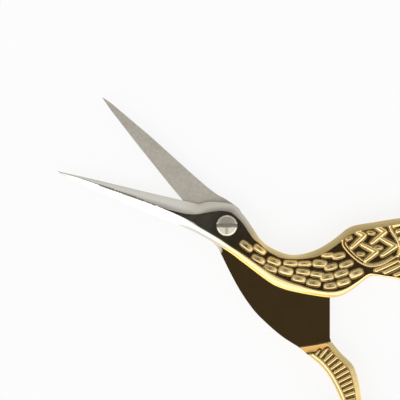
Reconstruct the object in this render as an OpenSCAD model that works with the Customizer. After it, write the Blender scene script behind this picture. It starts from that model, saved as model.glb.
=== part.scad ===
// Embroidery scissors in the form of a wading bird. The bill is the pair of blades, the pivot screw is
// the eye, and each half's leg ends in a finger ring. Millimetres, +Z up, the pivot axis on Z and the
// underside at Z = 0. The bill points to +Y, with one blade on either side of it.

/* [Opening] */
// Angle between the two blades as the scissors lie
open_angle = 28.2; // [6:0.1:50]
// Gap left between the two shoulders when the blades are shut
stop_gap = 0.3; // [0.2:0.05:0.6]

/* [Blades] */
// Pivot axis to the blade tips
bill_len = 33; // [29:0.5:38]
// Thickness of each half where the two lap
half_t = 1.6; // [1.4:0.05:2]
// Gap between the two lapping faces
lap_gap = 0.04; // [0.02:0.01:0.1]
// Thickness left along the cutting edge
edge_t = 0.2; // [0.1:0.05:0.3]
// Thickness left along the back of a blade at its tip
spine_t = 0.3; // [0.25:0.05:0.4]
// Slope of the ground bevel
bevel_angle = 30; // [24:1:34]
// Slope of the back of a blade
spine_angle = 20; // [12:1:24]

/* [Body] */
// Pivot axis to the corner of the shoulder
body_len = 28.2; // [26:0.1:31]
// Depth of the sunk fields below the rims
field_depth = 0.5; // [0.3:0.05:0.6]
// Width of the rim along the nape and over the wing
rim_w = 0.9; // [0.7:0.05:1.1]
// Height of the feathers above the sunk field
feather_h = 0.42; // [0.3:0.02:0.5]
// Width of a neck feather
feather_w = 1.35; // [1.1:0.05:1.5]
// Width of the plain band round the wing's shield
band_w = 0.75; // [0.5:0.05:0.9]

/* [Legs and finger rings] */
// Pivot axis to the ring centres, along the shut scissors
ring_back = 50.3; // [48:0.1:54]
// Middle of the shut scissors to the ring centres
ring_side = 13.6; // [12.8:0.1:15]
// Outside width of a finger ring
ring_w = 19.6; // [18.8:0.1:21]
// Outside length of a finger ring
ring_l = 23.2; // [22.4:0.1:25]
// Thickness of the ring's round bar
ring_bar = 3; // [2.6:0.1:3.2]
// Spacing of the ribs across a leg
rib_pitch = 0.9; // [0.8:0.05:1.2]
// Width of the plain border along a leg
leg_border = 0.95; // [0.8:0.05:1.2]

/* [Pivot screw] */
// Diameter of the screw head
head_d = 3.9; // [3.4:0.1:4.2]
// Height of the screw head
head_h = 0.62; // [0.5:0.02:0.8]
// Width of the screwdriver slot
slot_w = 0.7; // [0.5:0.05:0.9]
// Direction of the screwdriver slot, from +X
slot_turn = -58; // [-90:1:90]
// Depth of the screwdriver slot
slot_depth = 0.35; // [0.2:0.05:0.4]
// Diameter of the screw's shank
shank_d = 2.2; // [1.8:0.1:2.4]
// Running clearance round the shank, on the radius
shank_clearance = 0.03; // [0.02:0.01:0.08]
// Clearance under the screw head
head_clearance = 0.04; // [0.02:0.01:0.08]

/* [Hidden] */
$fn = 64;

full_t = 2 * half_t + lap_gap;
front_z = half_t + lap_gap;
cut = 1;
feather_foot = 0.1;
far = 200;
gold = "#c9a45c";
steel = "#b9b6a8";

// The outlines are drawn at these sizes, and stretched to the ones above
drawn_bill = 33;
drawn_head = 5;
drawn_body = 28.2;
drawn_ring_back = 50.3;
drawn_ring_side = 13.6;
grow = body_len / drawn_body;
bill_grow = (bill_len - drawn_head * grow) / (drawn_bill - drawn_head);
leg_grow = (ring_back - body_len) / (drawn_ring_back - drawn_body);

function leg_share(y) = max(0, -drawn_body - y) / (drawn_ring_back - drawn_body);
function place(p) = [
    p[0] * grow + sign(p[0]) * (ring_side - drawn_ring_side * grow) * leg_share(p[1]),
    p[1] > drawn_head ? drawn_head * grow + (p[1] - drawn_head) * bill_grow :
    p[1] > -drawn_body ? p[1] * grow : -body_len + (p[1] + drawn_body) * leg_grow
];
function placed(points) = [for (p = points) place(p)];

// Smooth curves through hand-picked points, and curves beside them
function knot(p, i) = p[max(0, min(len(p) - 1, i))];
function spline(a, b, c, d, t) =
    0.5 * (2 * b + (c - a) * t + (2 * a - 5 * b + 4 * c - d) * t * t + (3 * b - a - 3 * c + d) * t * t * t);
function smooth(p, steps = 3) = concat(
    [for (i = [0:len(p) - 2], j = [0:steps - 1])
        spline(knot(p, i - 1), p[i], p[i + 1], knot(p, i + 2), j / steps)],
    [p[len(p) - 1]]);
function curve(points) = smooth(placed(points));
function flip(points) = [for (p = points) [-p[0], p[1]]];
function reverse(points) = [for (i = [len(points) - 1:-1:0]) points[i]];
function unit(v) = v / norm(v);
function left_of(p, i, d) = let (t = unit(knot(p, i + 1) - knot(p, i - 1))) p[i] + d * [-t[1], t[0]];
function shifted(p, d) = [for (i = [0:len(p) - 1]) left_of(p, i, d)];
function along(p, f) = let (k = f * (len(p) - 1), i = min(floor(k), len(p) - 2)) p[i] + (k - i) * (p[i + 1] - p[i]);
function length(p) = len(p) < 2 ? 0 : norm(p[1] - p[0]) + length([for (i = [1:len(p) - 1]) p[i]]);

// Both halves are drawn shut, bill to +Y: nape and wing on +X, breast on -X. The front half's leg
// goes to +X and the back half's to -X.
tip = place([0, drawn_bill]);
front_cut = placed([[0.5, 28.6], [1.5, 14.8], [2.2, 6.3]]);
front_spine = placed([[-0.4, 32.3], [-1.5, 21.2], [-2.1, 14.5], [-2.5, 9.4]]);
front_head = curve([[2.2, 6.3], [2.42, 5.85], [2.8, 5.3], [3.3, 4.2], [3.75, 2.4], [4.05, 0.4], [3.85, -0.6]]);
nape = curve([[3.85, -0.6], [2.4, -2.9], [0.5, -5.3], [-0.5, -6.6], [-1.3, -8.4], [-1.7, -11.4],
    [-1.3, -13.8], [0.4, -16.7], [2.9, -19.1], [6, -21.2]]);
wing = curve([[6, -21.2], [7.2, -22.6], [9, -26.1], [11, -30.1], [13.3, -35.4]]);
tail = curve([[13.3, -35.4], [10.6, -34.9], [8.6, -35.2], [7, -36.6]]);
breast = curve([[-2.5, 9.4], [-3.05, 4.9], [-4.4, -1.35], [-5.6, -4.9], [-7.5, -10.35], [-7.95, -12.9],
    [-7.85, -15.9], [-7.05, -21.5], [-6.1, -23.9], [-4.2, -25.75], [-2.3, -27.05], [-0.9, -28.2],
    [-0.25, -30.4], [0.1, -33.6]]);
back_spine = placed([[0.45, 31], [1.35, 21.8], [2, 11.8], [2.35, 7.6]]);
back_cut = placed([[-0.5, 30.5], [-1.5, 21.5], [-2.35, 12.5], [-2.6, 9.1]]);
back_head = curve([[2.35, 7.6], [2.75, 5.2], [3.25, 3.7], [3.7, 1.4], [3.7, 0.3], [3.35, -0.9], [2.4, -2.9]]);
back_breast = curve([[-2.6, 9.1], [-3.05, 5.5], [-4, 0.1], [-4.15, -2], [-5.6, -6.6], [-6.6, -10.2],
    [-7.2, -13.5], [-7.4, -16.4], [-7.05, -21.4], [-6.2, -25.2]]);
front_leg_in = curve([[0.1, -33.6], [0.6, -35.7], [2.3, -38.3], [4.6, -40.5], [5.5, -42.4], [5.6, -44.6]]);
back_leg_in = curve([[1.05, -28.7], [1.3, -31.4], [1.25, -34.4], [1.85, -36.2], [3.1, -38.4], [4.6, -40.5],
    [5.5, -42.4], [5.6, -44.6]]);
leg_out = curve([[5.5, -28], [5.4, -30.9], [5.75, -33.3], [6.5, -35.8], [7.6, -38.2], [9.2, -39.8], [11.7, -40.4]]);
leg_end = place([8.5, -42.4]);

// A half steps from lapped to full thickness at its shoulder
plate_corner = place([-0.8, -28.2]);
plate_nape = place([6, -21.2]);
plate_turn = atan2(plate_nape[1] - plate_corner[1], plate_nape[0] - plate_corner[0]);
shoulder = curve([[-6.3, -25.2], [-5.1, -26.1], [-3.55, -27.2], [-2, -28.2], [-1, -28.8]]);

module front_outline() {
    polygon(concat([tip], front_spine, breast, front_leg_in, [leg_end],
        reverse([for (p = leg_out) if (p[1] < tail[len(tail) - 1][1]) p]),
        reverse(tail), reverse(wing), reverse(nape), reverse(front_head), reverse(front_cut)));
}

module back_outline() {
    polygon(concat([tip], back_cut, back_breast, flip(leg_out), [flip([leg_end])[0]],
        reverse(flip(back_leg_in)), [plate_corner], reverse([for (i = [4:len(nape) - 1]) nape[i]]),
        reverse(back_head), reverse(back_spine)));
}

// All that lies before the back edge of the plate, where the front half is only lapped
module before_plate(gap) {
    translate(plate_corner) rotate(plate_turn) translate([-far / 2, -gap]) square([far, far]);
}

// The room that the front half leaves for the back half's plate
module plate_room() {
    translate([0, 0, -cut]) linear_extrude(front_z + cut) before_plate(stop_gap);
}

module before_shoulder() {
    polygon(concat([[-far, shoulder[0][1]]], shoulder, [[far, shoulder[len(shoulder) - 1][1]], [far, far], [-far, far]]));
}

// Takes away what is above a plane that rises to the left of the line from a to b
module ground(a, b, za, zb, slope, start = 0) {
    run = norm(b - a);
    translate([a[0], a[1], za]) rotate(atan2(b[1] - a[1], b[0] - a[0])) rotate([0, -atan((zb - za) / run), 0])
        rotate([slope, 0, 0]) translate([-start, -6, 0]) cube([run + start + 2, 14, 8]);
}

// The ground bevel and the sloping back, for a blade that cuts on +X and lies under its outer face
module blade_cuts(cut_heel, spine_heel) {
    ground(cut_heel, tip, front_z + edge_t, front_z + edge_t, bevel_angle);
    ground(tip, spine_heel, front_z + spine_t, front_z + spine_t + 0.35, spine_angle, 2);
}

// Swaps the outer face for the underside
module underside() {
    translate([0, 0, full_t]) mirror([0, 0, 1]) children();
}

// A raised feather from p to q, with sloping sides
module feather(p, q, w = feather_w) {
    translate([(p[0] + q[0]) / 2, (p[1] + q[1]) / 2, full_t - field_depth - feather_foot])
        rotate(atan2(q[1] - p[1], q[0] - p[0]))
            linear_extrude(feather_h + feather_foot, scale = 0.55) scale([norm(q - p) / 2, w / 2]) circle(1.08, $fn = 8);
}

// The neck's feathers: middle, length, lean from the line of the shut scissors, and width
neck_feathers = [
    [-2.5, -4.6, 2.7, -20, 1.35], [-2.35, -7.1, 2.6, -17, 1.35], [-4.2, -7.4, 2.7, -10, 1.35],
    [-3.65, -10.3, 2.6, -2, 1.35], [-5.1, -10.05, 2.6, -4, 1.35], [-4.7, -12.9, 2.75, 3, 1.6],
    [-3.05, -13.35, 2.75, 15, 1.3], [-2.35, -15.8, 2.5, 18, 1.2], [-3.9, -16.05, 2.7, 10, 1.3],
    [-3.55, -18.65, 2.6, 10, 1.2], [-5.35, -15.6, 2.7, 8, 1.35], [-5.25, -18.5, 2.75, 10, 1.4],
    [-1.5, -18.5, 2.75, 15, 1.4], [0.45, -19.5, 2.6, 18, 1], [0.95, -21.35, 2.5, 30, 1.3],
    [-1.45, -20.6, 2.5, 33, 1.3], [-0.1, -23.2, 2.6, 36, 1.3], [-3.5, -20.5, 2.6, 28, 1.4],
    [-2, -22.8, 2.7, 36, 1.35], [-4.85, -21.6, 2.5, 23, 1.3], [-3.45, -23.7, 2.6, 33, 1.4],
    [-1.2, -25.45, 2.7, 38, 1.5]];
// The shield's chevrons, each from one arm's end round its point to the other's
chevrons = [
    [[6.2, -22.4], [6, -24.6], [3.3, -23.1]], [[8.1, -26], [7.8, -28], [5.1, -26.5]],
    [[6.4, -28], [5.9, -30.6], [3.6, -29.1]], [[4.3, -25], [3.9, -27.7], [1.8, -26.5]]];
// Small leaves between the chevrons
leaves = [[[4.4, -27], [4.8, -28.8]], [[2.2, -24.3], [2.7, -25.9]], [[6.6, -25], [6.95, -26.7]]];
shield_edge = curve([[4.9, -20.9], [3.3, -21.5], [2, -22.9], [1.1, -24.7], [0.8, -26.6], [1.3, -28.6],
    [2.7, -30.4], [4.6, -31.6], [6, -31.5], [7.4, -30.3], [8.9, -28.7]]);
tail_feathers = [
    [[0.7, -29.2], [3.3, -32]], [[0.8, -31], [3.7, -33.9]], [[0.9, -33], [2.6, -34.6]], [[3.9, -32.3], [6.4, -34.4]],
    [[6, -32.4], [8.5, -34.3]], [[7.4, -31.3], [10.3, -34]], [[8.8, -30.2], [11.5, -34]], [[9.7, -29.2], [11.1, -32]]];

// How far the point lies in front of the plate's back edge
function plate_depth(p) = let (v = place(p) - plate_corner) v[1] * cos(plate_turn) - v[0] * sin(plate_turn);

module neck_relief() {
    for (f = neck_feathers) {
        half = f[2] / 2 * [sin(f[3]), -cos(f[3])];
        feather(place([f[0], f[1]] - half), place([f[0], f[1]] + half), f[4] * feather_w / 1.35);
    }
}

// The parts of the wing that lie behind the plate's edge, or in front of it, or all of them
module wing_relief(behind = true, before = true) {
    for (c = chevrons) if (plate_depth(c[1]) < 0 ? behind : before) {
        feather(place(c[0]), place(c[1]), band_w + 0.3);
        feather(place(c[2]), place(c[1]), band_w + 0.3);
    }
    for (f = leaves) if (plate_depth(f[0]) < 0 ? behind : before) feather(place(f[0]), place(f[1]), band_w);
    for (f = tail_feathers) if (behind) feather(place(f[0]), place(f[1]), 1.2);
}

module shield_band() {
    translate([0, 0, full_t - field_depth - 0.1]) linear_extrude(field_depth)
        polygon(concat(shield_edge, reverse(shifted(shield_edge, band_w))));
}

// The ribbed groove along a leg, whose edges run from the body to the ring
module leg_relief(outer, inner) {
    edge_a = shifted(outer, -leg_border);
    edge_b = shifted(inner, leg_border * 1.25);
    count = floor(length(edge_a) / rib_pitch);
    difference() {
        translate([0, 0, full_t - field_depth]) linear_extrude(field_depth + cut)
            polygon(concat(edge_a, reverse(edge_b)));
        for (i = [1:count - 1]) feather(along(edge_a, i / count), along(edge_b, i / count), rib_pitch * 0.8);
    }
}

// The sunk field from the blade's root to the wing, from its nape side round to its breast side
head_field = curve([[-0.42, 15], [-0.35, 9.6], [0, 7.4], [1.2, 4.4], [2.1, 2.5], [2.5, 1], [2.5, -0.1], [2, -1.4]]);
breast_field = curve([[-2.6, 0.5], [-3.9, -3.8], [-5.85, -10.3], [-6.3, -13.5], [-6.35, -18.7], [-5.85, -21.9],
    [-4.6, -24.2], [-2.7, -26], [-0.75, -27.6]]);
function inside(p) = [for (i = [1:len(p) - 1]) left_of(p, i, -rim_w)];

module front_field() {
    wing_in = inside(wing);
    polygon(concat(head_field, inside(nape), [for (i = [0:len(wing_in) - 3]) wing_in[i]],
        placed([[9.6, -34.1], [7.4, -34.6], [5.4, -35.6], [0.95, -35.2], [0.5, -33.5], [0.1, -30.7], [-0.4, -28.4]]),
        reverse(breast_field), placed([[-1.65, 4.8], [-1.1, 8], [-0.7, 11.3]])));
}

// The part of the field behind the plate, seen from the underside
module wing_field() {
    wing_in = inside(wing);
    polygon(concat([for (i = [2:len(wing_in) - 3]) wing_in[i]],
        placed([[9.6, -34.1], [7.4, -34.6], [5.4, -35.6], [0.95, -35.2], [0.5, -33.5], [0.1, -30.7], [0.3, -28.5]])));
}

module back_field() {
    polygon(concat(placed([[0.42, 15], [0.75, 11], [1.1, 8], [1.7, 4.8], [2.3, 2.5], [2.6, 0.4], [2.2, -1.2]]),
        inside([for (i = [0:len(nape) - 3]) nape[i]]), placed([[3.1, -22.9], [-0.9, -27]]),
        reverse([for (p = breast_field) if (p[1] > place([0, -26.2])[1]) p]),
        placed([[-2.3, 2.3], [-1.2, 4.4], [-0.1, 7.4], [0.35, 9.6]])));
}

module sunk(depth_at) {
    translate([0, 0, depth_at]) linear_extrude(field_depth + cut) children();
}

// The back half's finger ring: round bar bent into an oval
module finger_ring() {
    sides = 12;
    steps = 48;
    across = (ring_w - ring_bar) / 2;
    lengthwise = (ring_l - ring_bar) / 2;
    points = [for (i = [0:steps - 1], j = [0:sides - 1])
        let (turn = 360 * i / steps, round = 360 * (j + 0.5) / sides, out = ring_bar / 2 * cos(round))
            [(across + out) * cos(turn), (lengthwise + out) * sin(turn), ring_bar / 2 * sin(round)]];
    faces = [for (i = [0:steps - 1], j = [0:sides - 1])
        let (a = i * sides, b = (i + 1) % steps * sides, k = (j + 1) % sides) [a + j, a + k, b + k, b + j]];
    translate([-ring_side, -ring_back, full_t / 2]) polyhedron(points, faces);
}

// A leg's groove stops short of the ring
function short_of_ring(points) = [for (p = points) if (p[1] > -ring_back + 0.46 * ring_l) p];
front_groove_out = short_of_ring([for (p = leg_out) if (p[1] < place([0, -36])[1]) p]);
front_groove_in = short_of_ring([for (i = [3:len(front_leg_in) - 1]) front_leg_in[i]]);
back_groove_out = short_of_ring([for (i = [2:len(leg_out) - 1]) leg_out[i]]);
back_groove_in = short_of_ring([for (i = [3:len(back_leg_in) - 1]) back_leg_in[i]]);

module front_half() color(gold) rotate(open_angle / 2) {
    difference() {
        linear_extrude(full_t) front_outline();
        plate_room();
        blade_cuts(front_cut[2], front_spine[3]);
        sunk(full_t - field_depth) front_field();
        underside() sunk(full_t - field_depth) wing_field();
        leg_relief(front_groove_out, front_groove_in);
        underside() leg_relief(front_groove_out, front_groove_in);
        translate([0, 0, -cut]) cylinder(r = shank_d / 2 + shank_clearance, h = full_t + 2 * cut);
    }
    neck_relief();
    wing_relief();
    shield_band();
    difference() {
        underside() wing_relief(before = false);
        plate_room();
    }
    mirror([1, 0, 0]) finger_ring();
}

module back_half() color(steel) rotate(-open_angle / 2) {
    difference() {
        linear_extrude(full_t) back_outline();
        translate([0, 0, half_t]) linear_extrude(full_t) before_shoulder();
        underside() mirror([1, 0, 0]) blade_cuts(flip(back_cut)[3], flip(back_spine)[3]);
        underside() sunk(full_t - field_depth) back_field();
        mirror([1, 0, 0]) leg_relief(back_groove_out, back_groove_in);
        underside() mirror([1, 0, 0]) leg_relief(back_groove_out, back_groove_in);
        translate([0, 0, -cut]) cylinder(d = shank_d, h = full_t + 2 * cut);
    }
    underside() neck_relief();
    finger_ring();
}

// The head stands on the sunk field, and the shank ends level with the underside
module pivot_screw() color("#8f8b74") {
    seat = full_t - field_depth + head_clearance;
    difference() {
        union() {
            cylinder(d = shank_d, h = seat + head_h / 2);
            translate([0, 0, seat]) rotate_extrude() polygon([[0, 0], [head_d / 2, 0],
                [head_d / 2, head_h * 0.6], [head_d / 2 - 0.25, head_h * 0.85], [head_d / 4, head_h * 0.97], [0, head_h]]);
        }
        rotate(slot_turn) translate([-head_d, -slot_w / 2, seat + head_h - slot_depth])
            cube([2 * head_d, slot_w, head_h]);
    }
}

front_half();
back_half();
pivot_screw();
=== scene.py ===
"""Looks for a pair of small bird-shaped embroidery scissors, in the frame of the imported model."""

import math

import bpy
import numpy as np
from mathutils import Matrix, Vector
from mathutils.geometry import delaunay_2d_cdt


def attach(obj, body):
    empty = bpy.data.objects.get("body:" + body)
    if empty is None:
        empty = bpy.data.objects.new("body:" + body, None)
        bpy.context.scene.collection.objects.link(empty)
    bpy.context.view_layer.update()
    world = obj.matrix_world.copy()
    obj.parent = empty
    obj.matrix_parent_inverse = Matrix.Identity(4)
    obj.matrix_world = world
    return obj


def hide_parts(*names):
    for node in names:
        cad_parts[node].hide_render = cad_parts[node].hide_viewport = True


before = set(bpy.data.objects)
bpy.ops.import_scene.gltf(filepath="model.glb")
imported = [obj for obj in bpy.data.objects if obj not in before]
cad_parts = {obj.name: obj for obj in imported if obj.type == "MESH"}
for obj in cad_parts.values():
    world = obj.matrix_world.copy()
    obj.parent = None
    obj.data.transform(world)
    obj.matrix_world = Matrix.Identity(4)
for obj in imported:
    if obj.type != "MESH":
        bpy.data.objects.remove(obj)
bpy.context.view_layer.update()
bpy.context.scene.view_settings.view_transform = "Standard"

# Sizes in millimetres
OPEN = math.radians(28.2)
HALF = 1.6
FRONT = 1.64
FULL = 3.24
DEPTH = 0.5
FLOOR = FULL - DEPTH
RING = (13.6, -50.3)
RING_BAR = 1.5
RING_ACROSS = 8.3
RING_LENGTH = 10.1
HOLE = 1.1
HEAD = 1.95
SEAT = 2.78
HEAD_H = 0.62
RIB = 0.89
BORDER_OUT = 0.9
BORDER_IN = 1.0

# How the meshes are made: how far along Y a nearest point is looked for, the lattices of carved and of
# plain stretches, and the width of the wall round a sunk field
MM = 0.001
FAR = 99.0
REACH = 8.0
FINE = 0.12
COARSE = 0.34
WALL = 0.08


# Lines and distances
def curve(points, step=0.14):
    """A smooth curve through the points, sampled every step or so."""
    p = np.array([points[0], *points, points[-1]], float)
    out = []
    for a, b, c, d in zip(p, p[1:], p[2:], p[3:]):
        n = max(1, int(np.hypot(*(c - b)) / step))
        t = (np.arange(n) / n)[:, None]
        bend = (2 * a - 5 * b + 4 * c - d) * t**2 + (3 * b - a - 3 * c + d) * t**3
        out.append(0.5 * (2 * b + (c - a) * t + bend))
    return np.vstack([*out, p[-1:]])


def line(points, step=0.14):
    """The straight runs between the points, sampled every step or so."""
    p = np.array(points, float)
    out = []
    for a, b in zip(p, p[1:]):
        n = max(1, int(np.hypot(*(b - a)) / step))
        out.append(a + (b - a) * (np.arange(n) / n)[:, None])
    return np.vstack([*out, p[-1:]])


def flip(points):
    """The points on the other side of the middle line."""
    return np.array(points, float) * (-1, 1)


def join(*runs):
    """One closed loop of the runs, without doubled points or long gaps."""
    p = np.vstack(runs)
    p = p[np.hypot(*(p - np.roll(p, 1, 0)).T) > 0.02]
    return line([*p, p[0]])[:-1]


def beside(p, d):
    """The curve shifted to its left by d."""
    run = np.gradient(p, axis=0)
    run /= np.hypot(*run.T)[:, None]
    return p + d * np.stack([-run[:, 1], run[:, 0]], 1)


def nearest(P, poly):
    """Distance to an open polyline, positive to its left, and the arc length of the nearest point.
    A point over REACH from the line along Y counts as far."""
    order = np.argsort(P[:, 1])
    sorted_y = P[order, 1]
    Q = P[order]
    best = np.full(len(P), FAR)
    side = np.ones(len(P))
    where = np.zeros(len(P))
    start = 0.0
    for a, b in zip(poly, poly[1:]):
        i, j = np.searchsorted(sorted_y, [min(a[1], b[1]) - REACH, max(a[1], b[1]) + REACH])
        run = b - a
        size = np.hypot(*run)
        q = Q[i:j] - a
        t = np.clip((q @ run) / size**2, 0, 1)
        off = q - t[:, None] * run
        d = np.hypot(off[:, 0], off[:, 1])
        closer = d < best[i:j]
        best[i:j][closer] = d[closer]
        side[i:j][closer] = np.sign(run[0] * q[:, 1] - run[1] * q[:, 0])[closer]
        where[i:j][closer] = (start + t * size)[closer]
        start += size
    back = np.empty_like(order)
    back[order] = np.arange(len(order))
    return (best * side)[back], where[back]


def away(P, poly):
    """Distance to an open polyline."""
    return np.abs(nearest(P, poly)[0])


def within(P, loop):
    """True for the points inside a closed loop."""
    inside = np.zeros(len(P), bool)
    for a, b in zip(loop, np.roll(loop, -1, 0)):
        crosses = (a[1] > P[:, 1]) != (b[1] > P[:, 1])
        if crosses.any():
            x = a[0] + (P[:, 1] - a[1]) * (b[0] - a[0]) / (b[1] - a[1] + 1e-12)
            inside ^= crosses & (P[:, 0] < x)
    return inside


def smooth(lo, hi, x):
    """0 up to lo and 1 from hi on, with a soft change between them. lo may lie above hi."""
    t = np.clip((x - lo) / (hi - lo), 0, 1)
    return t * t * (3 - 2 * t)


# Outlines with the scissors shut: bill to +Y, nape and wing on +X, breast on -X. The front half's leg
# goes to +X and the back half's to -X.
front_cut = line([(0.06, 32.98), (0.5, 28.6), (1.5, 14.8), (2.2, 6.3)])
front_spine = line([(-0.06, 32.98), (-0.26, 32.5), (-1.5, 21.2), (-2.1, 14.5), (-2.5, 9.4)])
front_head = curve([(2.2, 6.3), (2.42, 5.85), (2.8, 5.3), (3.3, 4.2), (3.75, 2.4), (4.05, 0.4),
                    (3.85, -0.6)])
nape = curve([(3.85, -0.6), (2.4, -2.9), (0.5, -5.3), (-0.5, -6.6), (-1.3, -8.4), (-1.7, -11.4),
              (-1.3, -13.8), (0.4, -16.7), (2.9, -19.1), (6, -21.2)])
wing = curve([(6, -21.2), (7.2, -22.6), (9, -26.1), (11, -30.1), (13.3, -35.4)])
tail = curve([(13.3, -35.4), (10.6, -34.9), (8.6, -35.2), (7, -36.6)])
breast = curve([(-2.5, 9.4), (-3.05, 4.9), (-4.4, -1.35), (-5.6, -4.9), (-7.5, -10.35), (-7.95, -12.9),
                (-7.85, -15.9), (-7.05, -21.5), (-6.1, -23.9), (-4.2, -25.75), (-2.3, -27.05), (-0.9, -28.2),
                (-0.25, -30.4), (0.1, -33.6)])
back_spine = line([(0.06, 32.98), (0.45, 31), (1.35, 21.8), (2, 11.8), (2.35, 7.6)])
back_cut = line([(-0.06, 32.98), (-0.5, 30.5), (-1.5, 21.5), (-2.35, 12.5), (-2.6, 9.1)])
back_head = curve([(2.35, 7.6), (2.75, 5.2), (3.25, 3.7), (3.7, 1.4), (3.7, 0.3), (3.35, -0.9), (2.4, -2.9)])
back_breast = curve([(-2.6, 9.1), (-3.05, 5.5), (-4, 0.1), (-4.15, -2), (-5.6, -6.6), (-6.6, -10.2),
                     (-7.2, -13.5), (-7.4, -16.4), (-7.05, -21.4), (-6.2, -25.2)])
front_leg_in = curve([(0.1, -33.6), (0.6, -35.7), (2.3, -38.3), (4.6, -40.5), (5.5, -42.4), (5.6, -44.6)])
back_leg_in = curve([(1.05, -28.7), (1.3, -31.4), (1.25, -34.4), (1.85, -36.2), (3.1, -38.4), (4.6, -40.5),
                     (5.5, -42.4), (5.6, -44.6)])
leg_out = curve([(5.98, -26.4), (5.85, -28.4), (5.62, -30.5), (5.85, -32.9), (6.6, -35.7), (7.6, -38.1),
                 (9.2, -39.8), (11.7, -40.4)])
leg_end = (8.5, -42.4)
PLATE_CORNER = np.array([-0.8, -28.2])
PLATE_NAPE = np.array([6, -21.2])
shoulder = curve([(-6.3, -25.2), (-5.1, -26.1), (-3.55, -27.2), (-2, -28.2), (-1, -28.8)])

front_loop = join(front_spine, breast, front_leg_in, line([(5.6, -44.6), leg_end, (11.7, -40.4)]),
                  leg_out[::-1][:-1][leg_out[::-1][:-1][:, 1] < -36.7], tail[::-1], wing[::-1], nape[::-1],
                  front_head[::-1], front_cut[::-1])
back_loop = join(back_cut, back_breast, flip(leg_out), line(flip([(11.7, -40.4), leg_end, (5.6, -44.6)])),
                 flip(back_leg_in)[::-1], line([PLATE_CORNER, PLATE_NAPE]), nape[nape[:, 1] < -2.95][::-1],
                 back_head[::-1], back_spine[::-1])
turn = np.linspace(0, 2 * math.pi, 48, endpoint=False)
screw_hole = HOLE * np.stack([np.cos(turn), np.sin(turn)], 1)

# The crest of the front blade, and from its root on the edges of the sunk field: along the nape and
# wing, along the breast, and at the tail
rim_edge = curve([(-0.16, 7.69), (0.32, 6), (1.14, 4.4), (2.12, 2.42), (2.49, 1.06), (2.52, -0.11),
                  (1.97, -1.49), (1.21, -2.82), (0.15, -4.14), (-0.83, -5.44), (-1.27, -6.57), (-2.12, -8.41),
                  (-2.48, -10.02), (-2.63, -11.45), (-2.18, -13.59), (-1.34, -15.79), (-0.13, -17.89),
                  (2.2, -20.0), (4.7, -21.7), (6.2, -23.3), (7.9, -26.4), (9.9, -30.4), (12, -34.2)])
breast_edge = curve([(-2.62, 0.5), (-3.37, -1.79), (-3.96, -3.96), (-4.57, -5.93), (-5.86, -10.3),
                     (-6.29, -13.46), (-6.36, -16.01), (-6.37, -18.73), (-5.86, -21.86), (-4.63, -24.19),
                     (-2.7, -26), (-0.75, -27.5), (-0.3, -28.6), (0.05, -30.9), (0.5, -33.4), (0.95, -35.2)])
front_crest = curve([(0, 33), (0.12, 31.27), (0.08, 26.91), (-0.12, 22.41), (-0.21, 19.41), (-0.37, 15.93),
                     (-0.4, 12.56), (-0.3, 9.51), (-0.16, 7.69)])
front_fold = curve([(-0.36, 16.2), (-0.45, 15.03), (-0.72, 11.24), (-1.06, 8.02), (-1.63, 4.76),
                    (-2.62, 0.5)])
back_crest = curve([(0, 33), (-0.12, 31.3), (-0.05, 27), (0.12, 22.4), (0.3, 17), (0.42, 15), (0.75, 11),
                    (1.1, 8), (1.7, 4.8), (2.3, 2.5), (2.6, 0.9), (2.52, -0.11)])
back_fold = curve([(0.36, 16.2), (0.42, 15), (0.35, 9.6), (-0.1, 7.4), (-1.2, 4.4), (-2.3, 2.3),
                   (-2.62, 0.5)])
tail_edge = line([(0.95, -35.2), (5.4, -35.7), (7.4, -34.7), (9.6, -34.1), (12, -34.2)])

# Feathers on the neck: middle, length, lean from the line of the shut scissors, width and dimple
NECK = [(-2.52, -4.58, 2.75, -20, 1.35, 0.1), (-2.33, -7.12, 2.6, -17, 1.35, 0.05),
        (-4.2, -7.41, 2.7, -10, 1.4, 0.08), (-3.67, -10.3, 2.65, -2, 1.35, 0.08),
        (-5.13, -10.05, 2.6, -4, 1.35, 0.09), (-4.68, -12.91, 2.8, 3, 1.7, 0.03),
        (-3.03, -13.34, 2.75, 15, 1.25, 0.08), (-2.36, -15.82, 2.6, 18, 1.1, 0.06),
        (-3.87, -16.03, 2.7, 10, 1.25, 0.08), (-3.54, -18.64, 2.7, 10, 1.15, 0.05),
        (-5.36, -15.61, 2.65, 8, 1.45, 0.06), (-5.26, -18.47, 2.7, 10, 1.45, 0.09),
        (-1.48, -18.49, 2.75, 15, 1.45, 0.09), (0.45, -19.47, 2.6, 18, 1.0, 0.03),
        (0.93, -21.37, 2.5, 30, 1.2, 0.09), (-1.46, -20.62, 2.5, 33, 1.25, 0.1),
        (-0.1, -23.18, 2.7, 36, 1.25, 0.1), (-3.48, -20.49, 2.65, 28, 1.45, 0.09),
        (-2, -22.81, 2.75, 36, 1.35, 0.09), (-4.85, -21.6, 2.5, 23, 1.4, 0.1),
        (-3.46, -23.72, 2.65, 33, 1.45, 0.03), (-1.19, -25.48, 2.75, 38, 1.65, 0.03)]
SHIELD = curve([(4.9, -20.7), (4.4, -20.9), (3.02, -21.35), (2.12, -22.53), (1.31, -24.08), (0.75, -25.74),
                (0.65, -27.26), (1.08, -28.6), (1.95, -29.82), (3.1, -30.93), (4.2, -31.8)])
# Chevrons in the shield, each from one arm's end over its point to the other's
CHEVRONS = [((6.35, -22.48), (5.99, -24.77), (3.15, -23.17)),
            ((8.18, -26.05), (7.77, -28.16), (5.03, -26.45)),
            ((6.38, -27.9), (5.85, -30.85), (3.48, -29.02)),
            ((4.22, -24.83), (3.8, -27.83), (1.64, -26.35))]
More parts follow.
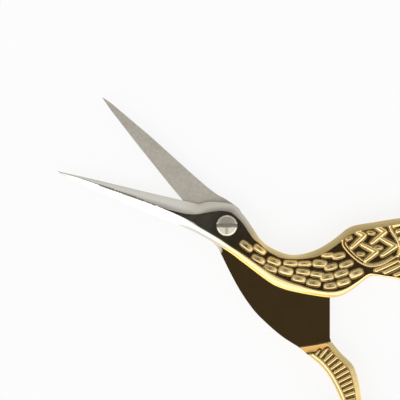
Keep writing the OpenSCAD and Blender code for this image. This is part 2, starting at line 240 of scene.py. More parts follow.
# Leaves between the chevrons: middle, length and lean
LEAVES = [(4.61, -27.88, 1.8, 12), (2.43, -25.11, 1.7, 18), (4.56, -22.16, 1.5, 40), (6.8, -25.79, 1.7, 10)]
TAIL_FEATHERS = [((0.44, -28.78), (3.38, -32.12)), ((0.58, -30.45), (2.9, -33)),
                 ((0.72, -32.48), (2.4, -34.5)),
                 ((3.4, -32.7), (4.9, -35.1)), ((4.8, -32.3), (6.6, -34.5)), ((6.1, -31.7), (8.2, -34)),
                 ((7.4, -31.2), (9.7, -33.7)), ((8.5, -30.3), (11.1, -33.8)), ((9.3, -29.4), (11.2, -32.4))]
SHIELD_END = curve([(9.4, -28.3), (8.4, -29.2), (7.1, -30.7), (5.8, -31.7), (4.2, -31.8)])


# Relief, as heights over the outlines
def dome(r):
    """The height of a rounded ridge at r, from 1 in the middle to 0 at 1, and -1 outside."""
    return np.where(r < 1, (1 - r * r) * (1 + 0.35 * r * r), -1)


def bead(P, x, y, length, lean, width, dimple, height=0.47):
    """Height of one plump oval feather above the field."""
    a = math.radians(lean)
    u = (P - (x, y)) @ (math.sin(a), -math.cos(a)) * 2 / length
    v = (P - (x, y)) @ (math.cos(a), math.sin(a)) * 2 / width
    r = (np.abs(u) ** 3 + np.abs(v) ** 3) ** (1 / 3)
    return height * dome(r) - 1.2 * dimple * np.exp(-((1.5 * u) ** 4) - (2.2 * v) ** 2)


def bar(P, a, b, radius, height, end):
    """Height of one round bar above the field, whose radius changes to end times it."""
    a = np.array(a, float)
    run = np.array(b, float) - a
    t = np.clip(((P - a) @ run) / (run @ run), 0, 1)
    return height * dome(np.hypot(*(P - a - t[:, None] * run).T) / (radius * (1 - (1 - end) * t**3)))


def cord(P, path, radius, height):
    """Height of a round ridge along a path."""
    return height * dome(away(P, path) / radius)


def oval(x, y, length, lean, width):
    """The outline of a bead on the field."""
    a = math.radians(lean)
    t = np.linspace(0, 2 * math.pi, 40)
    u = np.sign(np.cos(t)) * np.abs(np.cos(t)) ** (2 / 3) * length / 2
    v = np.sign(np.sin(t)) * np.abs(np.sin(t)) ** (2 / 3) * width / 2
    return np.stack([x + u * math.sin(a) + v * math.cos(a), y - u * math.cos(a) + v * math.sin(a)], 1)


def capsule(a, b, radius, end):
    """The outline of a bar on the field."""
    a, b = np.array(a, float), np.array(b, float)
    lean = math.atan2(*(b - a)[::-1])
    t = np.linspace(0.5, 1.5, 12) * math.pi + lean
    start = a + radius * np.stack([np.cos(t), np.sin(t)], 1)
    finish = b - radius * end * np.stack([np.cos(t), np.sin(t)], 1)
    return line([*start, *finish, start[0]])


def plumage_outlines():
    """The outlines of all the feathers, for the mesh to follow."""
    runs = [oval(x, y, length, lean, width) for x, y, length, lean, width, _ in NECK]
    runs += [oval(x, y, length, lean, 0.85) for x, y, length, lean in LEAVES]
    for a, b, c in CHEVRONS:
        runs += [capsule(b, a, 0.56, 0.8), capsule(b, c, 0.56, 0.8)]
    runs += [capsule(a, b, 0.5, 0.6) for a, b in TAIL_FEATHERS]
    runs += [beside(SHIELD, k) for k in (-0.06, 0.38)] + [beside(SHIELD_END, k) for k in (-0.34, 0.34)]
    return runs


def stretches(run, keep):
    """The parts of a run on which keep holds."""
    ends = np.flatnonzero(np.diff(np.concatenate([[0], keep.astype(int), [0]])))
    return [run[i:j] for i, j in zip(ends[::2], ends[1::2]) if j - i > 3]


def plumage(P):
    """Height of the feathers, shield and tail above the field, and below 0 between them."""
    h = np.full(len(P), -1.0)
    for x, y, length, lean, width, dimple in NECK:
        h = np.maximum(h, bead(P, x, y, length, lean, width, dimple))
    h = np.where(within(P, join(SHIELD, SHIELD_END[::-1])), -1, h)
    ridges = [(beside(SHIELD, 0.16), 0.22, 0.46), (beside(SHIELD, 0.68)[10:52], 0.2, 0.42),
              (beside(SHIELD, 0.42)[50:-8], 0.3, 0.3), (SHIELD_END, 0.34, 0.42)]
    for path, radius, height in ridges:
        h = np.maximum(h, cord(P, path, radius, height))
    for a, b, c in CHEVRONS:
        h = np.maximum(h, bar(P, b, a, 0.56, 0.5, 0.8))
        h = np.maximum(h, bar(P, b, c, 0.56, 0.5, 0.8))
    for x, y, length, lean in LEAVES:
        h = np.maximum(h, bead(P, x, y, length, lean, 0.85, 0.08, height=0.38))
    for a, b in TAIL_FEATHERS:
        h = np.maximum(h, bar(P, a, b, 0.5, 0.44, 0.6))
    return h


def share(P, outer, inner, side):
    """How far a point is across a rim, from 0 at its outer line to 1 at its inner one.
    side is 1 where the rim lies to the left of its outer line and -1 where it lies to the right."""
    d = np.maximum(side * nearest(P, outer)[0], 0)
    return d / (d + away(P, inner) + 1e-9)


def outer_face(P, right, left, right_inner, left_inner, right_z, left_z):
    """The carved face of a half, as height above the other side, and how deep in shade each point lies.
    right and left are its two edges, with their heights, and the inner lines are the rims' crests."""
    y = P[:, 1]
    field = join(right_inner[right_inner[:, 1] < 15], tail_edge[::-1],
                 left_inner[left_inner[:, 1] < 15][::-1])
    top = np.interp(y, [6, 15, 24, 28.6, 31, 33], [FULL, 2.88, 2.4, 2.1, 1.9, 1.79])
    w = share(P, right, right_inner, -1)
    right_edge = np.interp(y, *right_z)
    bulge = np.interp(y, [-8, 2, 6, 12], [0.3, 0.5, 0.38, 0.55])
    right_rim = right_edge + (top - right_edge) * (w + bulge * w * (1 - w))
    w = share(P, left, left_inner, 1)
    stepped = 1 - (1 - w) ** 2.5 - 0.03 * np.exp(-(((w - 0.66) / 0.09) ** 2))
    left_edge = np.interp(y, *left_z)
    left_rim = left_edge + (top - left_edge) * (w + (stepped - w) * smooth(12, 4, y))
    over = nearest(P, right_inner)[0] > 0
    z = np.where(over, right_rim, left_rim)
    hollow = within(P, field)
    rear = (y < -29.5) & ~hollow & ~over
    z = np.where(rear, rounded(P, front_loop, 0.35, 0.3), z)
    gap = np.minimum(away(P, right_inner), np.minimum(away(P, left_inner), away(P, tail_edge)))
    floor = top - DEPTH * smooth(15, 9, y) * np.clip(gap / (WALL * 0.95), 0, 1)
    h = np.where(y < -2.5, plumage(P), -1)
    z = np.where(hollow, np.maximum(floor, FLOOR + np.minimum(h, gap * 5)), z)
    # Painted shade: darker the deeper a point lies in the sunk field
    shade = np.clip((FULL - 0.1 - z) / 0.36, 0, 1) * hollow * smooth(12, 6, y)
    return z, shade


def rounded(P, loop, radius, drop):
    """A level top, rounded off towards the outline."""
    d = np.clip(away(P, loop) / radius, 0, 1)
    return FULL - drop * (1 - np.sqrt(1 - (1 - d) ** 2))


def near_ring(P, side):
    """Distance from a finger ring's middle line, roughly."""
    q = (P - (side * RING[0], RING[1])) / (RING_ACROSS, RING_LENGTH)
    return (np.hypot(*q.T) - 1) * (RING_ACROSS + RING_LENGTH) / 2


def leg_face(P, loop, outer, inner, side, start):
    """A leg with its two borders and its ribbed groove, and how deep in shade each point lies.
    start is the distance from where the leg begins, and side says to which finger ring it leads."""
    gap = near_ring(P, side)
    neck = smooth(4.5, 0.8, gap)
    z = rounded(P, loop, 0.12 + 1.38 * neck, 0.02 + 1.43 * neck) - 0.13 * neck
    a, along = nearest(P, outer)
    a = np.abs(a)
    b = away(P, inner)
    slope = 0.34 * np.clip(1 - b / BORDER_IN, 0, 1) + 0.14 * np.clip(1 - a / BORDER_OUT, 0, 1)
    z = z - slope * (1 - neck)
    deep = np.minimum(np.minimum(a - BORDER_OUT * smooth(0.8, 1.7, start), b - BORDER_IN),
                      np.minimum(start, gap - 2.4))
    saw = 2 * np.mod(along / RIB, 1) - 1
    rib = 0.46 * dome(saw / 0.78)
    apron = np.maximum(FULL - DEPTH * np.clip(start, 0, 1), FULL - 7 * np.maximum(deep, 0))
    floor = np.where(start < 1.0, apron, FULL - DEPTH * smooth(0.0, 0.1, deep))
    ribbed = np.maximum(floor, np.where(start > 0.9, FLOOR + np.minimum(rib, 2.2 * deep), -9))
    z = np.where(deep > 0, np.minimum(z, ribbed), z)
    bright = cord(P, beside(outer, -0.7 * side), 0.17, 0.1)
    z = z + np.where((bright > 0) & (start > 1.4) & (gap > 2.2), bright, 0)
    # Painted shade: darker the deeper a point lies in the ribbed groove
    shade = np.clip((FULL - 0.12 - z) / 0.3, 0, 1) * (deep > 0) * smooth(0.9, 1.2, start)
    return z, shade


def rib_lines(outer, inner, side):
    """The outlines of a leg's ribs, and its borders."""
    runs = [beside(outer, -BORDER_OUT * side), beside(inner, BORDER_IN * side)]
    along = np.concatenate([[0], np.cumsum(np.hypot(*np.diff(outer, axis=0).T))])
    normals = beside(outer, -side) - outer
    for k in range(int(along[-1] / RIB)):
        for edge in (0.11, 0.89):
            at = (k + edge) * RIB
            foot = np.array([np.interp(at, along, outer[:, i]) for i in (0, 1)])
            across = np.array([np.interp(at, along, normals[:, i]) for i in (0, 1)])
            reach = np.arange(1.0, 4.0, 0.14)[:, None] * across + foot
            runs.append(reach[away(reach, inner) > 1.05])
    return [r for r in runs if len(r) > 3]


def land(P):
    """1 on the slope between the shoulder's edge and the ribs, and 0 elsewhere."""
    d, _ = nearest(P, shoulder)
    return smooth(-0.1, -0.25, d) * smooth(-1.45, -1.1, d)


def plate_depth(P):
    """How far a point lies in front of the plate's back edge."""
    run = (PLATE_NAPE - PLATE_CORNER) / np.hypot(*(PLATE_NAPE - PLATE_CORNER))
    return (P - PLATE_CORNER) @ (-run[1], run[0])


front_outer = leg_out[leg_out[:, 1] < -36.4]
front_inner = front_leg_in
back_outer = flip(leg_out)[flip(leg_out)[:, 1] < -28.2]
back_inner = flip(back_leg_in)
front_right = np.vstack([front_crest, rim_edge[1:]])
front_left = np.vstack([front_crest[front_crest[:, 1] > 16.3], front_fold, breast_edge[1:]])
back_right = np.vstack([back_crest, rim_edge[rim_edge[:, 1] < -0.2]])
back_left = np.vstack([back_crest[back_crest[:, 1] > 16.3], back_fold, breast_edge[1:]])
# Heights along the right edge and along the left edge, each as places in Y and their heights
front_heights = (([-12, -5, 2, 6.3, 9, 33], [2.92, 2.9, 2.55, 2.07, 1.92, 1.78]),
                 ([-20, 4, 12, 28, 33], [2.35, 2.2, 2.05, 1.72, 1.72]))
back_heights = (([-12, -5, 2, 8, 33], [2.94, 2.9, 2.6, 2.2, 1.9]),
                ([-20, 2, 9.1, 33], [2.35, 2.3, 1.92, 1.82]))


def front_start(P):
    """How far a point is down the front half's leg from where its groove begins."""
    return -36.8 - P[:, 1]


def back_start(P):
    """The same on the back half's leg, where the groove begins at the shoulder."""
    d = nearest(P, shoulder)[0]
    return np.where(P[:, 1] < -33, 9, -0.16 - d)


def under_start(P):
    """The same on the back half's underside."""
    return -29.4 - P[:, 1]


def front_face(P):
    """The front half's carved top: height and shade."""
    z, shade = outer_face(P, np.vstack([front_cut, front_head, nape, wing]),
                          np.vstack([front_spine, breast]), front_right, front_left, *front_heights)
    leg_z, leg_shade = leg_face(P, front_loop, front_outer, front_inner, 1, front_start(P))
    leg = (P[:, 1] < -36.0) & (P[:, 0] < 11.8)
    return np.where(leg, leg_z, z), np.where(leg, leg_shade, shade)


def front_bottom(P):
    """The front half's underside: flat where it laps the plate, and carved like the top behind it."""
    z, shade = front_face(P)
    lapped = smooth(-0.02, 0.02, plate_depth(P) + 0.3)
    return FULL - z + lapped * (FRONT - FULL + z), shade * (1 - lapped)


def back_top(P):
    """The back half's top: the flat plate, the shoulder's step and the ribbed leg."""
    d, _ = nearest(P, shoulder)
    d = np.where(P[:, 1] < -33, -9, d)
    step = smooth(-0.02, -0.16, d)
    z, shade = leg_face(P, back_loop, back_outer, back_inner, -1, -0.16 - d)
    facet = 0.14 * np.clip(1 - away(P, back_breast) / 0.6, 0, 1)
    facet *= smooth(-2.9, -2.6, P[:, 1]) * smooth(6, 3, P[:, 1])
    return HALF - facet + (z - HALF) * step, shade * step


def back_bottom(P):
    """The back half's carved underside."""
    z, shade = outer_face(P, np.vstack([back_spine, back_head, nape, wing]),
                          np.vstack([back_cut, back_breast, flip(leg_out)[:6]]), back_right, back_left,
                          *back_heights)
    leg_z, leg_shade = leg_face(P, back_loop, back_outer, back_inner, -1, under_start(P))
    leg = (P[:, 1] < -27.2) | (P[:, 1] < -25.4 - 0.4 * P[:, 0])
    return FULL - np.where(leg, leg_z, z), np.where(leg, leg_shade, shade)


# Meshes
def sheet(loop, holes, creases, fine):
    """Triangles that fill the loop, with the loop's own points first. fine(P) says where they are small."""
    lo = loop.min(0)
    hi = loop.max(0)
    fixed = [loop, *holes]
    lattice = []
    for step, wanted in ((FINE, True), (COARSE, False)):
        rows = np.arange(lo[1], hi[1], step * 0.866)
        cols = np.arange(lo[0], hi[0], step)
        x, y = np.meshgrid(cols, rows)
        x = x + (np.arange(len(rows)) % 2)[:, None] * step / 2
        p = np.stack([x.ravel(), y.ravel()], 1)
        p = p[within(p, loop) & (fine(p) == wanted)]
        closed = [np.vstack([f, f[:1]]) for f in fixed]
        for f in [*closed, *creases]:
            p = p[away(p, f) > step * 0.42]
        lattice.append(p)
    points = [*fixed, *creases, *lattice]
    P = np.vstack(points)
    edges = []
    start = 0
    for i, f in enumerate([*fixed, *creases]):
        n = len(f)
        edges += [(start + j, start + j + 1) for j in range(n - 1)]
        if i < len(fixed):
            edges.append((start + n - 1, start))
        start += n
    co, _, faces, made_from, _, _ = delaunay_2d_cdt([Vector(p) for p in P], edges, [], 0, 1e-6)
    co = np.array([tuple(c) for c in co])
    tris = np.array([tuple(f) for f in faces])
    middle = co[tris].mean(1)
    keep = within(middle, loop)
    for h in holes:
        keep &= ~within(middle, h)
    rim = sum(len(f) for f in fixed)
    first = np.array([i for i, old in enumerate(made_from) if old and min(old) < rim])
    first = first[np.argsort([min(made_from[i]) for i in first])]
    order = np.concatenate([first, np.setdiff1d(np.unique(tris[keep]), first)])
    place = np.zeros(len(co), int)
    place[order] = np.arange(len(order))
    return co[order], place[tris[keep]]


def solid(name, loop, holes, top, bottom, creases_top, creases_bottom, fine_top, fine_bottom, angle, marks):
    """A closed mesh between two height fields, turned to the half's place and put in metres."""
    a, ta = sheet(loop, holes, creases_top, fine_top)
    b, tb = sheet(loop, holes, creases_bottom, fine_bottom)
    za, sa = top(a)
    zb, sb = bottom(b)
    rim = sum(len(f) for f in [loop, *holes])
    verts = np.vstack([np.column_stack([a, za]), np.column_stack([b, zb])])
    faces = [tuple(t) for t in ta]
    faces += [tuple(t[::-1] + len(a)) for t in tb]
    start = 0
    for f in [loop, *holes]:
        n = len(f)
        area = np.sum(f[:, 0] * np.roll(f[:, 1], -1) - f[:, 1] * np.roll(f[:, 0], -1))
        out = (area > 0) == (start == 0)
        for i in range(n):
            j, k = start + i, start + (i + 1) % n
            quad = (j, j + len(a), k + len(a), k)
            faces.append(quad if out else quad[::-1])
        start += n
    c, s = math.cos(angle), math.sin(angle)
    turned = verts @ np.array([[c, s, 0], [-s, c, 0], [0, 0, 1]])
    mesh = bpy.data.meshes.new(name)
    mesh.from_pydata((turned * MM).tolist(), [], faces)
    mesh.update()
    flat = np.vstack([a, b])
    up = np.concatenate([np.ones(len(a)), np.zeros(len(b))])
    for key, values in marks(flat, up, np.concatenate([za, zb]), np.concatenate([sa, sb])).items():
        mesh.attributes.new(key, "FLOAT", "POINT").data.foreach_set("value", values.astype(np.float32))
    mesh.shade_smooth()
    mesh.set_sharp_from_angle(angle=math.radians(70))
    ends = np.zeros(len(mesh.edges) * 2, int)
    mesh.edges.foreach_get("vertices", ends)
    ends = ends.reshape(-1, 2)
    below = ends >= len(a)
    outline = (ends - below * len(a) < rim).all(1) & (below[:, 0] == below[:, 1])
    sharp = np.zeros(len(mesh.edges), bool)
    mesh.attributes["sharp_edge"].data.foreach_get("value", sharp)
    mesh.attributes["sharp_edge"].data.foreach_set("value", sharp | outline)
    obj = bpy.data.objects.new(name, mesh)
    bpy.context.collection.objects.link(obj)
    return obj


# Where each finish lies: gold or steel, painted shade in the hollows with some real patina, matt casting,
# ground steel, and a painted orange reflection
def front_marks(P, up, z, shade):
    """Gold from the neck on, and ground steel on the blade's inner face."""
    x, y = P.T
    gilt = smooth(0.5, -8.5, x + y)
    lap = smooth(-0.02, 0.02, plate_depth(P) + 0.3) * (1 - up)
    blade = smooth(4, 8, y) * (1 - up)
    film = 0.3 * smooth(10, 5, y) * smooth(-0.9, -0.5, x) * (1 - gilt) * up
    cast = 0.6 * smooth(-1.5, -6, y) * (1 - shade) + 0.12 * smooth(-1, 4, y) * shade
    # Painted shade in the sunk field, together with real patina on the head
    return {"gilt": gilt + 0.25 * film, "tarnish": np.maximum(shade, film),
            "matt": cast * (1 - lap) + blade, "ground": blade, "copper": np.zeros(len(P))}


def back_marks(P, up, z, shade):
    """Gold from the screw on, ground steel on the blade, and a painted orange reflection on the slope below
    the shoulder.
    """
    x, y = P.T
    gilt = smooth(-1.6, -3.6, y) * up + smooth(0.5, -8.5, x + y) * (1 - up)
    blade = smooth(-1.6, -0.6, y) * up
    leg = smooth(HALF + 0.1, HALF + 0.4, z) * up
    relief = smooth(-1.5, -6, y) * (1 - up)
    # Painted shade in the sunk field and between the ribs
    return {"gilt": gilt, "tarnish": shade, "matt": blade + 0.6 * (leg + relief) * (1 - shade),
            # Painted orange reflection on the slope between the shoulder's edge and the ribs
            "ground": blade, "copper": land(P) * leg * smooth(0.9, 1.1, away(P, back_inner))}


# Where each face needs the fine lattice
def carved(P):
    """From the tips' crest and the blade roots to the legs' ends."""
    return ((P[:, 1] < 16) & (P[:, 1] > -44)) | (P[:, 1] > 25)


def carved_wing(P):
    """The part of the front half's underside that is behind the plate."""
    return (plate_depth(P) < 0.6) & (P[:, 1] > -44)


def leg_only(P):
    """The part of the back half's top from its shoulder on."""
    return (P[:, 1] < -24) & (P[:, 1] > -44)


# The lines that the edges of the mesh follow
def wall_lines(right, left):
    """The crests of a face, and under them the foot of the sunk field's wall."""
    low_right = right[right[:, 1] < 14.5]
    low_left = left[left[:, 1] < 14.5]
    return [right[4:-3], left[left[:, 1] < 15.6][:-3], tail_edge[3:-3], beside(low_right, -WALL)[:-5],
            beside(low_left, WALL)[:-5], beside(tail_edge, WALL)[5:-5]]


def relief_lines(right, left):
    """The outlines of the plumage as far as a face's field reaches."""
    field = join(right[right[:, 1] < 14], tail_edge[::-1], left[left[:, 1] < 14][::-1])
    runs = []
    for run in plumage_outlines():
        gap = np.minimum(away(run, right), np.minimum(away(run, left), away(run, tail_edge)))
        runs += stretches(run, within(run, field) & (gap > WALL * 1.5))
    return runs


def leg_lines(outer, inner, side, start):
    """The ribs' outlines from start onwards, as far as the finger ring."""
    runs = []
    for run in rib_lines(outer, inner, side):
        runs += stretches(run, (start(run) > 1.05) & (near_ring(run, side) > 2.5))
    return runs


# The edge of the room that the front half leaves for the plate
plate_edge = line([PLATE_NAPE, PLATE_CORNER])
notch = [beside(plate_edge, k)[1:-1] for k in (0.28, 0.32)]
front_ribs = leg_lines(front_outer, front_inner, 1, front_start)
back_ribs = leg_lines(back_outer, back_inner, -1, back_start)
under_ribs = leg_lines(back_outer, back_inner, -1, under_start)
front_lines = wall_lines(front_right, front_left) + relief_lines(front_right, front_left)
back_lines = wall_lines(back_right, back_left) + relief_lines(back_right, back_left)
wing_lines = []
for run in front_lines:
    wing_lines += stretches(run, plate_depth(run) < -0.4)
step_lines = [beside(shoulder, -0.02)[2:-2], beside(shoulder, -0.16)[3:-3]]
front = solid("front_half_cast", front_loop, [screw_hole], front_face, front_bottom,
              front_lines + front_ribs, notch + wing_lines + front_ribs, carved, carved_wing,
              OPEN / 2, front_marks)
back = solid("back_half_cast", back_loop, [screw_hole], back_top, back_bottom,
             step_lines + back_ribs, back_lines + under_ribs, leg_only, carved, -OPEN / 2, back_marks)


def ring(name, side, angle):
    """A finger ring: a round bar bent into an oval."""
    steps, sides = 160, 32
    t = np.repeat(np.arange(steps) / steps * 2 * math.pi, sides)
    r = np.tile((np.arange(sides) + 0.5) / sides * 2 * math.pi, steps)
    out = RING_BAR * np.cos(r)
    p = np.stack([side * RING[0] + (RING_ACROSS + out) * np.cos(t),
                  RING[1] + (RING_LENGTH + out) * np.sin(t), FULL / 2 + RING_BAR * np.sin(r)], 1)
    c, s = math.cos(angle), math.sin(angle)
    p = p @ np.array([[c, s, 0], [-s, c, 0], [0, 0, 1]])
    faces = []
    for i in range(steps):
        for j in range(sides):
            a, b, k = i * sides, (i + 1) % steps * sides, (j + 1) % sides
            faces.append((a + j, b + j, b + k, a + k))
    mesh = bpy.data.meshes.new(name)
    mesh.from_pydata((p * MM).tolist(), [], faces)
    mesh.attributes.new("gilt", "FLOAT", "POINT").data.foreach_set("value", np.ones(len(p), np.float32))
    mesh.shade_smooth()
    obj = bpy.data.objects.new(name, mesh)
    bpy.context.collection.objects.link(obj)
    return obj


front_ring = ring("front_ring", 1, OPEN / 2)
back_ring = ring("back_ring", -1, -OPEN / 2)


# Materials
def metal(name, tint, roughness):
    """Plated metal: polished steel that turns to gold, painted shade in the hollows along with some real
    patina, and a ground face.
    """
    m = bpy.data.materials.new(name)
    m.use_nodes = True
    nodes, links = m.node_tree.nodes, m.node_tree.links
    shader = nodes["Principled BSDF"]
    shader.inputs["Metallic"].default_value = 1.0

    def node(kind, **settings):
        n = nodes.new(kind)
        for key, value in settings.items():
            setattr(n, key, value)
        return n

    def attribute(key):
        return node("ShaderNodeAttribute", attribute_name=key).outputs["Fac"]

    def math_of(operation, *values):
        n = node("ShaderNodeMath", operation=operation, use_clamp=operation == "MULTIPLY_ADD")
        for socket, value in zip(n.inputs, values):
            if isinstance(value, (int, float)):
                socket.default_value = value
            else:
                links.new(value, socket)
        return n.outputs[0]

    def blend(fac, a, b):
        n = node("ShaderNodeMix", data_type="RGBA")
        links.new(fac, n.inputs[0])
        for socket, value in ((n.inputs[6], a), (n.inputs[7], b)):
            if isinstance(value, tuple):
                socket.default_value = (*value, 1)
            else:
                links.new(value, socket)
        return n.outputs[2]

    place = node("ShaderNodeTexCoord").outputs["Object"]

    def noise(scale, detail=3.0, stretch=None, turn=0.0):
        n = node("ShaderNodeTexNoise")
        n.inputs["Scale"].default_value = scale
        n.inputs["Detail"].default_value = detail
        source = place
        if stretch:
            mapping = node("ShaderNodeMapping")
            mapping.inputs["Scale"].default_value = stretch
            mapping.inputs["Rotation"].default_value = (0, 0, turn)
            links.new(place, mapping.inputs["Vector"])
            source = mapping.outputs[0]
        links.new(source, n.inputs["Vector"])
        return n.outputs["Fac"]

    cloud = noise(420)
    speck = noise(2600, 5.0)
    gilt = attribute("gilt")
    ground = attribute("ground")
    blotch = math_of("MULTIPLY", math_of("MULTIPLY_ADD", noise(1700, 8.0), 2.4, -0.75), ground)
    steel = blend(ground, (0.78, 0.755, 0.68), (0.84, 0.8, 0.71))
    steel = blend(blotch, steel, (0.73, 0.67, 0.55))
    colour = blend(gilt, steel, tint)
    # Painted orange reflection on the slope below the shoulder
    colour = blend(attribute("copper"), colour, (0.47, 0.27, 0.085))
    # Painted shade darkens the hollows, the rib gaps and the screw's slot; the same colour gives the head and
    # screw their real patina and the screw its painted dark reflection
    tarnish = math_of("MULTIPLY", attribute("tarnish"), 0.8)
    painted_shade_colour = blend(gilt, (0.2, 0.185, 0.135), (0.2, 0.12, 0.035))
    colour = blend(tarnish, colour, painted_shade_colour)
    links.new(colour, shader.inputs["Base Color"])
    spots = math_of("MULTIPLY_ADD", noise(1900, 2.0), 9.0, -6.6)
    rough = math_of("ADD", math_of("MULTIPLY", cloud, 0.08), roughness)
    rough = math_of("ADD", rough, math_of("MULTIPLY", spots, 0.12))
    rough = math_of("ADD", rough, math_of("MULTIPLY", attribute("matt"), 0.33))
    rough = math_of("ADD", rough, math_of("MULTIPLY", tarnish, 0.12))
    links.new(rough, shader.inputs["Roughness"])
    scratch = noise(900, 4.0, (1, 14, 1), 0.4)
    cast = math_of("MULTIPLY", math_of("MULTIPLY", noise(2300, 2.0), attribute("matt")), 2.2)
    height = math_of("ADD", math_of("MULTIPLY", scratch, ground), math_of("MULTIPLY", speck, 0.12))
    height = math_of("ADD", height, math_of("MULTIPLY", cast, gilt))
    bump = node("ShaderNodeBump")
    bump.inputs["Strength"].default_value = 0.5
    bump.inputs["Distance"].default_value = 0.00003
    links.new(height, bump.inputs["Height"])
    links.new(bump.outputs[0], shader.inputs["Normal"])
    return m


GOLD = (0.94, 0.73, 0.35)
gilt = metal("gilt", GOLD, 0.05)
plated = metal("plated", GOLD, 0.05)
screw_steel = metal("screw_steel", GOLD, 0.05)

# The screw: a low cone with a flat rim and a slot, on a plain shank
SLOT = math.radians(-58)
SLOT_HALF = 0.33
RIM = 1.76
slot_run = np.array([math.cos(SLOT), math.sin(SLOT)])
slot_side = np.array([-slot_run[1], slot_run[0]])


def circle(radius, count=96):
    t = np.linspace(0, 2 * math.pi, count, endpoint=False)
    return radius * np.stack([np.cos(t), np.sin(t)], 1)


def head_top(P):
    """A low cone inside a flat rim, with the slot across it, and painted shade in the slot."""
    r = np.hypot(*P.T)
    z = SEAT + HEAD_H + 0.03 - 0.28 * np.sqrt(r * r + 0.04)
    z = z + (2.87 - 0.12 * (r - RIM) - z) * smooth(RIM - 0.02, RIM + 0.02, r)
    slot = smooth(SLOT_HALF + 0.04, SLOT_HALF, np.abs(P @ slot_side))
    # The second value is painted shade in the slot
    return z + (np.minimum(2.84 - 0.2 * (P @ slot_side), z) - z) * slot, slot * 0.15


def head_bottom(P):
    """The head's seat, and in its middle the shank down to its rounded end."""
    r = np.hypot(*P.T)
    return np.where(r < 1.09, 0.06 * smooth(0.85, 1.08, r), SEAT), np.zeros(len(P))


def screw_marks(P, up, z, shade):
    """The head's marks, with a painted dark reflection on one side of the slot."""
    a, b = P @ slot_run, P @ slot_side
    painted_dark_reflection = smooth(0.42, 0.2, np.abs(a + 0.05)) * smooth(0.3, 0.5, -b) * smooth(1.75, 1.5, -b)
    none = np.zeros(len(P))
    # Painted shade in the slot, an even patina, and the painted dark reflection on the head's top
    return {"gilt": none + 0.18, "tarnish": np.maximum(shade + 0.25, 0.75 * painted_dark_reflection * up),
            "matt": none + 0.15, "ground": none, "copper": none}


slot_lines = [line([-1.9 * slot_run + k * slot_side, 1.9 * slot_run + k * slot_side], 0.06)
              for k in (-SLOT_HALF - 0.04, -SLOT_HALF, SLOT_HALF, SLOT_HALF + 0.04)]
rings = [np.vstack([circle(r), circle(r)[:1]]) for r in (RIM - 0.02, RIM + 0.02, 1.08, 1.1)]
screw = solid("slotted_screw", circle(HEAD), [], head_top, head_bottom, slot_lines + rings[:2], rings[2:],
              lambda P: np.ones(len(P), bool), lambda P: np.zeros(len(P), bool), 0.0, screw_marks)

for obj, material, slot, node, body in (
    (front, gilt, "gilt_half", "front_half", "front"),
    (back, plated, "plated_half", "back_half", "back"),
    (screw, screw_steel, "screw", "pivot_screw", "back"),
    (front_ring, gilt, "gilt_half", "front_half", "front"),
    (back_ring, plated, "plated_half", "back_half", "back"),
):
    obj.data.materials.append(material)
    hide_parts(node)
    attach(obj, body)

# Camera, straight down as in the photograph, at 0.6 m over a stretch this wide
PICTURE = 0.07395
camera = bpy.data.objects.new("camera", bpy.data.cameras.new("camera"))
camera.location = (0.00140, 0.00671, 0.6024)
camera.rotation_euler = (0, 0, math.radians(-58.27))
camera.data.sensor_width = 36
camera.data.lens = 36 * 0.6 / PICTURE
camera.data.clip_end = 10
bpy.context.collection.objects.link(camera)
bpy.context.scene.camera = camera

# Floor
mesh = bpy.data.meshes.new("floor")
mesh.from_pydata([(x, y, -0.00002) for x, y in ((-1, -1), (1, -1), (1, 1), (-1, 1))], [], [(0, 1, 2, 3)])
floor = bpy.data.objects.new("floor", mesh)
bpy.context.collection.objects.link(floor)


def seen(nodes, links):
    """1 for camera, glossy and transmission rays."""
    path = nodes.new("ShaderNodeLightPath")
    total = path.outputs["Is Camera Ray"]
    for key in ("Is Glossy Ray", "Is Transmission Ray"):
        n = nodes.new("ShaderNodeMath")
        n.operation = "MAXIMUM"
        links.new(total, n.inputs[0])
        links.new(path.outputs[key], n.inputs[1])
        total = n.outputs[0]
    return total


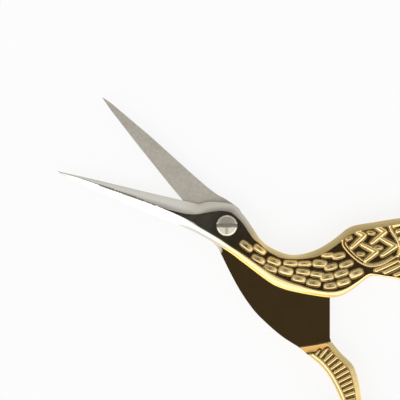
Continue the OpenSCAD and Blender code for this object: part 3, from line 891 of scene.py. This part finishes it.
paper = bpy.data.materials.new("paper")
paper.use_nodes = True
nodes, links = paper.node_tree.nodes, paper.node_tree.links
diffuse = nodes["Principled BSDF"]
diffuse.inputs["Base Color"].default_value = (0.9, 0.9, 0.9, 1)
diffuse.inputs["Roughness"].default_value = 1.0
glow = nodes.new("ShaderNodeEmission")
glow.inputs["Strength"].default_value = 1.0
half = nodes.new("ShaderNodeMath")
half.operation = "MULTIPLY"
half.inputs[1].default_value = 0.82
links.new(seen(nodes, links), half.inputs[0])
mix = nodes.new("ShaderNodeMixShader")
links.new(half.outputs[0], mix.inputs[0])
links.new(diffuse.outputs[0], mix.inputs[1])
links.new(glow.outputs[0], mix.inputs[2])
links.new(mix.outputs[0], nodes["Material Output"].inputs["Surface"])
floor.data.materials.append(paper)

# Soft light from all round and little from straight above
world = bpy.data.worlds.new("studio")
world.use_nodes = True
bpy.context.scene.world = world
nodes, links = world.node_tree.nodes, world.node_tree.links
background = nodes["Background"]
direction = nodes.new("ShaderNodeTexCoord").outputs["Generated"]
split = nodes.new("ShaderNodeSeparateXYZ")
links.new(direction, split.inputs[0])
ramp = nodes.new("ShaderNodeValToRGB")
stops = ((0.0, 0.95), (0.3, 1.3), (0.6, 1.35), (0.75, 1.0), (0.88, 0.65), (0.965, 0.45), (0.985, 0.04),
         (1.0, 0.04))
for i, (position, value) in enumerate(stops):
    stop = ramp.color_ramp.elements[i] if i < 2 else ramp.color_ramp.elements.new(position)
    stop.position = position
    warm = 0.8 if value < 0.1 else 1.0
    stop.color = (value, value * warm, value * warm**2, 1)
links.new(split.outputs["Z"], ramp.inputs[0])
down = math.radians(211.7)
dot = nodes.new("ShaderNodeVectorMath")
dot.operation = "DOT_PRODUCT"
dot.inputs[1].default_value = (math.cos(down), math.sin(down), 0)
links.new(direction, dot.inputs[0])
lean = nodes.new("ShaderNodeMapRange")
for key, value in (("From Min", -0.25), ("From Max", 0.25), ("To Min", 0.58), ("To Max", 1.42)):
    lean.inputs[key].default_value = value
links.new(dot.outputs["Value"], lean.inputs["Value"])
scaled = nodes.new("ShaderNodeVectorMath")
scaled.operation = "SCALE"
links.new(ramp.outputs[0], scaled.inputs[0])
links.new(lean.outputs[0], scaled.inputs["Scale"])
white = nodes.new("ShaderNodeMix")
white.data_type = "RGBA"
white.inputs[7].default_value = (1, 1, 1, 1)
links.new(nodes.new("ShaderNodeLightPath").outputs["Is Camera Ray"], white.inputs[0])
links.new(scaled.outputs[0], white.inputs[6])
links.new(white.outputs[2], background.inputs["Color"])
